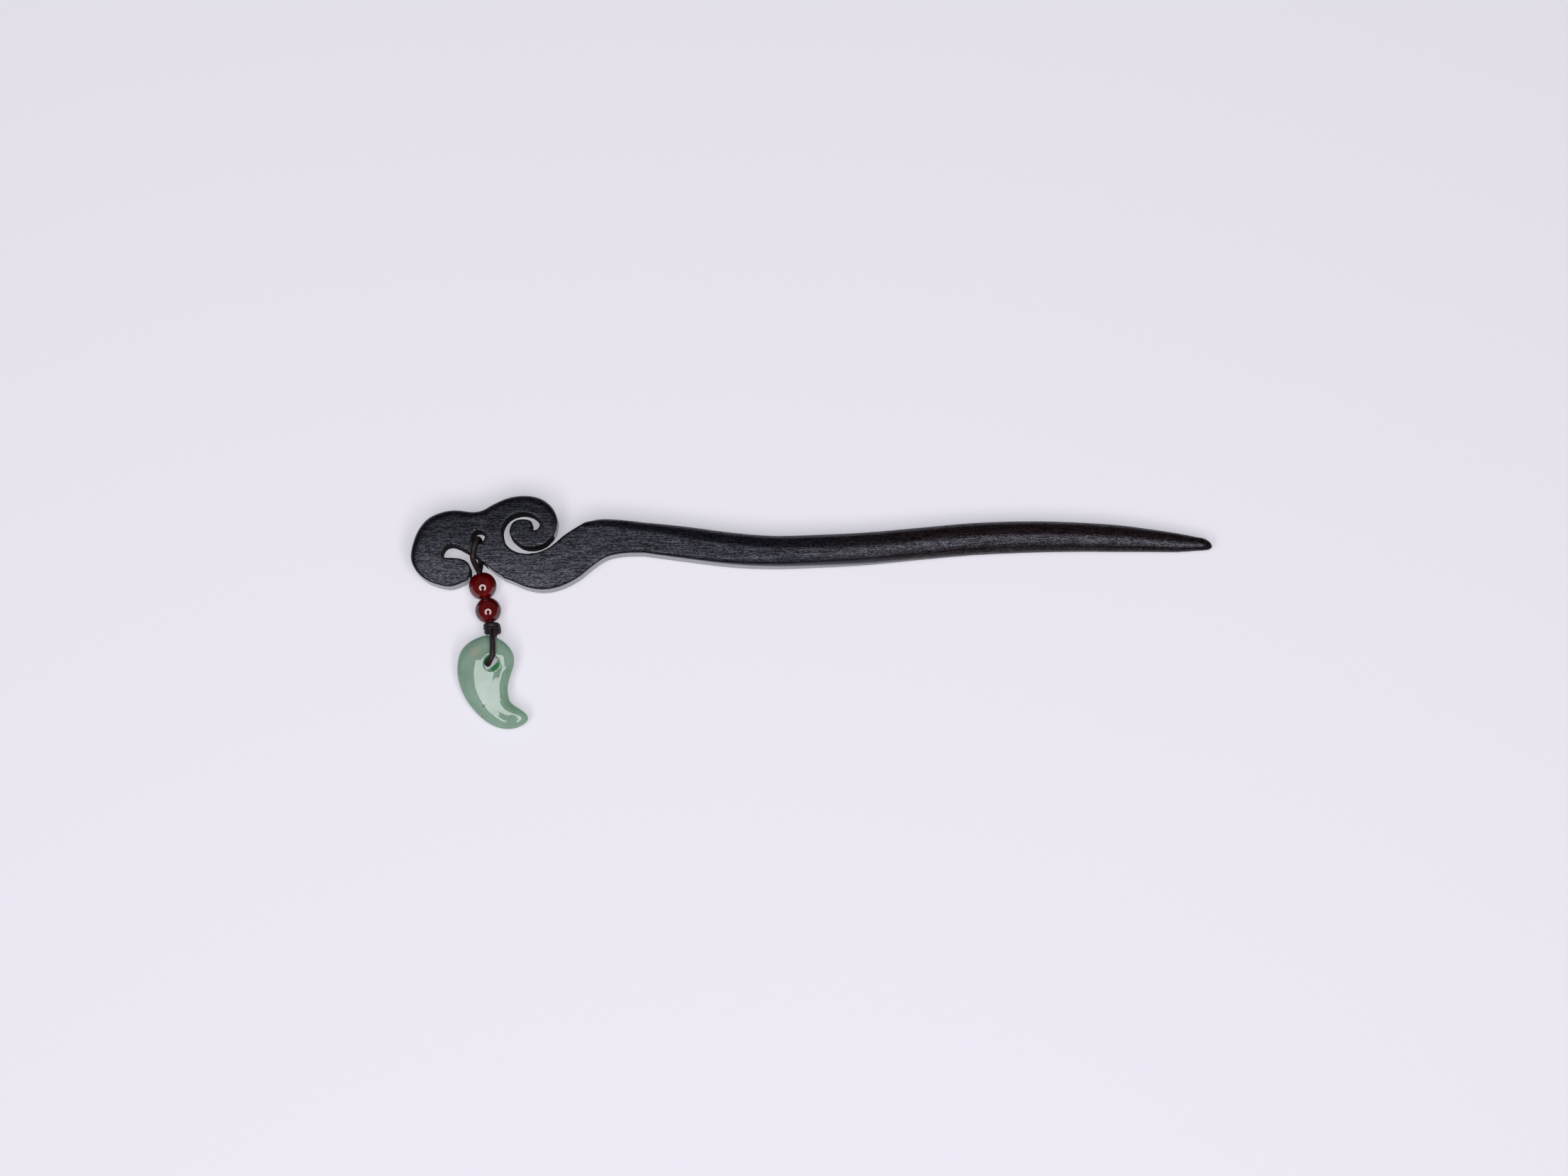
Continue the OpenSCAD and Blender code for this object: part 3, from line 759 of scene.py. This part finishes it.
class HAIRSTICK_OT_beads(bpy.types.Operator):
    """Turns and polishes the two agate beads"""
    bl_idname = "hairstick.beads"
    bl_label = "Beads"

    def execute(self, context):
        settings = context.scene.hairstick_beads
        material = agate_material()
        upper_half = math.sqrt(settings.upper_diameter ** 2 - settings.bore ** 2) / 2
        lower_half = math.sqrt(settings.lower_diameter ** 2 - settings.bore ** 2) / 2
        lower_on = (upper_half + lower_half) / MM + BEAD_GAP
        for name, node, diameter, distance in (
                ("upper_agate_bead", "upper_bead", settings.upper_diameter, 0),
                ("lower_agate_bead", "lower_bead", settings.lower_diameter, lower_on)):
            bead = self.turn(name, diameter / 2, settings.bore / 2, settings.lip)
            laid_down = Matrix.Rotation(math.radians(90), 4, "X")
            along_string = Matrix.Rotation(STRING_ANGLE, 4, "Z") @ laid_down
            bead.data.transform(Matrix.Translation(on_string(distance) * MM) @ along_string)
            bead.data.materials.append(material)
            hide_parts(node)
            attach(bead, node)
        return {"FINISHED"}

    def turn(self, name, radius, bore, lip):
        """Spins a bead's section, with rounded lips at its hole, round the Z axis. The section
        runs over the sphere, the upper lip, the bore's wall and the lower lip."""
        # The lip's circle touches the bore's wall and the sphere from inside
        lip_x = bore + lip
        lip_z = math.sqrt((radius - lip) ** 2 - lip_x ** 2)
        meets = math.atan2(lip_z, lip_x)
        section = []
        sphere_steps, lip_steps, spin_steps = 48, 8, 96
        for k in range(sphere_steps + 1):
            angle = -meets + 2 * meets * k / sphere_steps
            section.append((radius * math.cos(angle), radius * math.sin(angle)))
        for k in range(1, lip_steps + 1):
            angle = meets + (math.pi - meets) * k / lip_steps
            section.append((lip_x + lip * math.cos(angle), lip_z + lip * math.sin(angle)))
        for k in range(lip_steps):
            angle = math.pi + (math.pi - meets) * k / lip_steps
            section.append((lip_x + lip * math.cos(angle), -lip_z + lip * math.sin(angle)))
        mesh = bpy.data.meshes.new(name)
        count = len(section)
        edges = [(i, (i + 1) % count) for i in range(count)]
        mesh.from_pydata([(x, 0, z) for x, z in section], edges, [])
        bead = bpy.data.objects.new(name, mesh)
        bpy.context.scene.collection.objects.link(bead)
        select_only(bead)
        bpy.ops.object.mode_set(mode="EDIT")
        bpy.ops.mesh.select_all(action="SELECT")
        bpy.ops.mesh.spin(
            steps=spin_steps, angle=2 * math.pi, center=(0, 0, 0), axis=(0, 0, 1))
        bpy.ops.mesh.select_all(action="SELECT")
        bpy.ops.mesh.remove_doubles(threshold=SAME_SEAM_POINT)
        bpy.ops.mesh.normals_make_consistent(inside=False)
        bpy.ops.object.mode_set(mode="OBJECT")
        bpy.ops.object.shade_smooth()
        return bead


class HAIRSTICK_OT_pendant(bpy.types.Operator):
    """Shapes and polishes the jade comma pendant"""
    bl_idname = "hairstick.pendant"
    bl_label = "Pendant"

    def execute(self, context):
        settings = context.scene.hairstick_pendant
        pendant = copy_of_node("jade_pendant", "jade_comma_pendant")
        carve_smooth(pendant, settings.voxel, settings.softening)
        self.slope_hole(pendant, settings.slope)
        pendant.data.materials.append(jade_material())
        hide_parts("jade_pendant")
        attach(pendant, "pendant")
        return {"FINISHED"}

    def slope_hole(self, pendant, slope):
        """Slopes the lower right of the hole's wall inwards, most at the back, as the drill left
        it. The slope fades out over HOLE_SPREAD around the hole."""
        hole = Vector(PENDANT_HOLE) * MM
        half, spread, edge = HOLE_HALF_DEPTH * MM, HOLE_SPREAD * MM, HOLE_RADIUS * MM
        low_right = Vector((1, -1, 0)).normalized()
        for vertex in pendant.data.vertices:
            away = vertex.co - hole
            reach = math.hypot(away.x, away.y)
            along = away.dot(low_right)
            if along <= 0 or reach > edge + spread:
                continue
            deep = min(1, max(0, (half - away.z) / (2 * half)))
            near = min(1, (edge + spread - reach) / spread)
            vertex.co -= slope * deep * near * (along / reach) ** 0.7 * low_right


class HAIRSTICK_PT_panel(bpy.types.Panel):
    """Lists the pieces of the hair stick"""
    bl_idname = "HAIRSTICK_PT_panel"
    bl_label = "Hair stick"
    bl_space_type = "VIEW_3D"
    bl_region_type = "UI"
    bl_category = "Hair stick"

    def draw(self, context):
        for operator in OPERATORS:
            self.layout.operator(operator.bl_idname)


SETTINGS = {
    "hairstick_stage": StageSettings,
    "hairstick_cord": CordSettings,
    "hairstick_stick": StickSettings,
    "hairstick_beads": BeadSettings,
    "hairstick_pendant": PendantSettings,
}
OPERATORS = (
    HAIRSTICK_OT_stage, HAIRSTICK_OT_cords, HAIRSTICK_OT_stick, HAIRSTICK_OT_beads,
    HAIRSTICK_OT_pendant,
)


def register():
    for group in (*SETTINGS.values(), *OPERATORS, HAIRSTICK_PT_panel):
        bpy.utils.register_class(group)
    for name, group in SETTINGS.items():
        setattr(bpy.types.Scene, name, PointerProperty(type=group))


def unregister():
    for name in SETTINGS:
        delattr(bpy.types.Scene, name)
    for group in (HAIRSTICK_PT_panel, *OPERATORS, *SETTINGS.values()):
        bpy.utils.unregister_class(group)


def main():
    register()
    bpy.ops.hairstick.stage()
    bpy.ops.hairstick.cords()
    bpy.ops.hairstick.stick()
    bpy.ops.hairstick.beads()
    bpy.ops.hairstick.pendant()


if __name__ == "__main__":
    main()
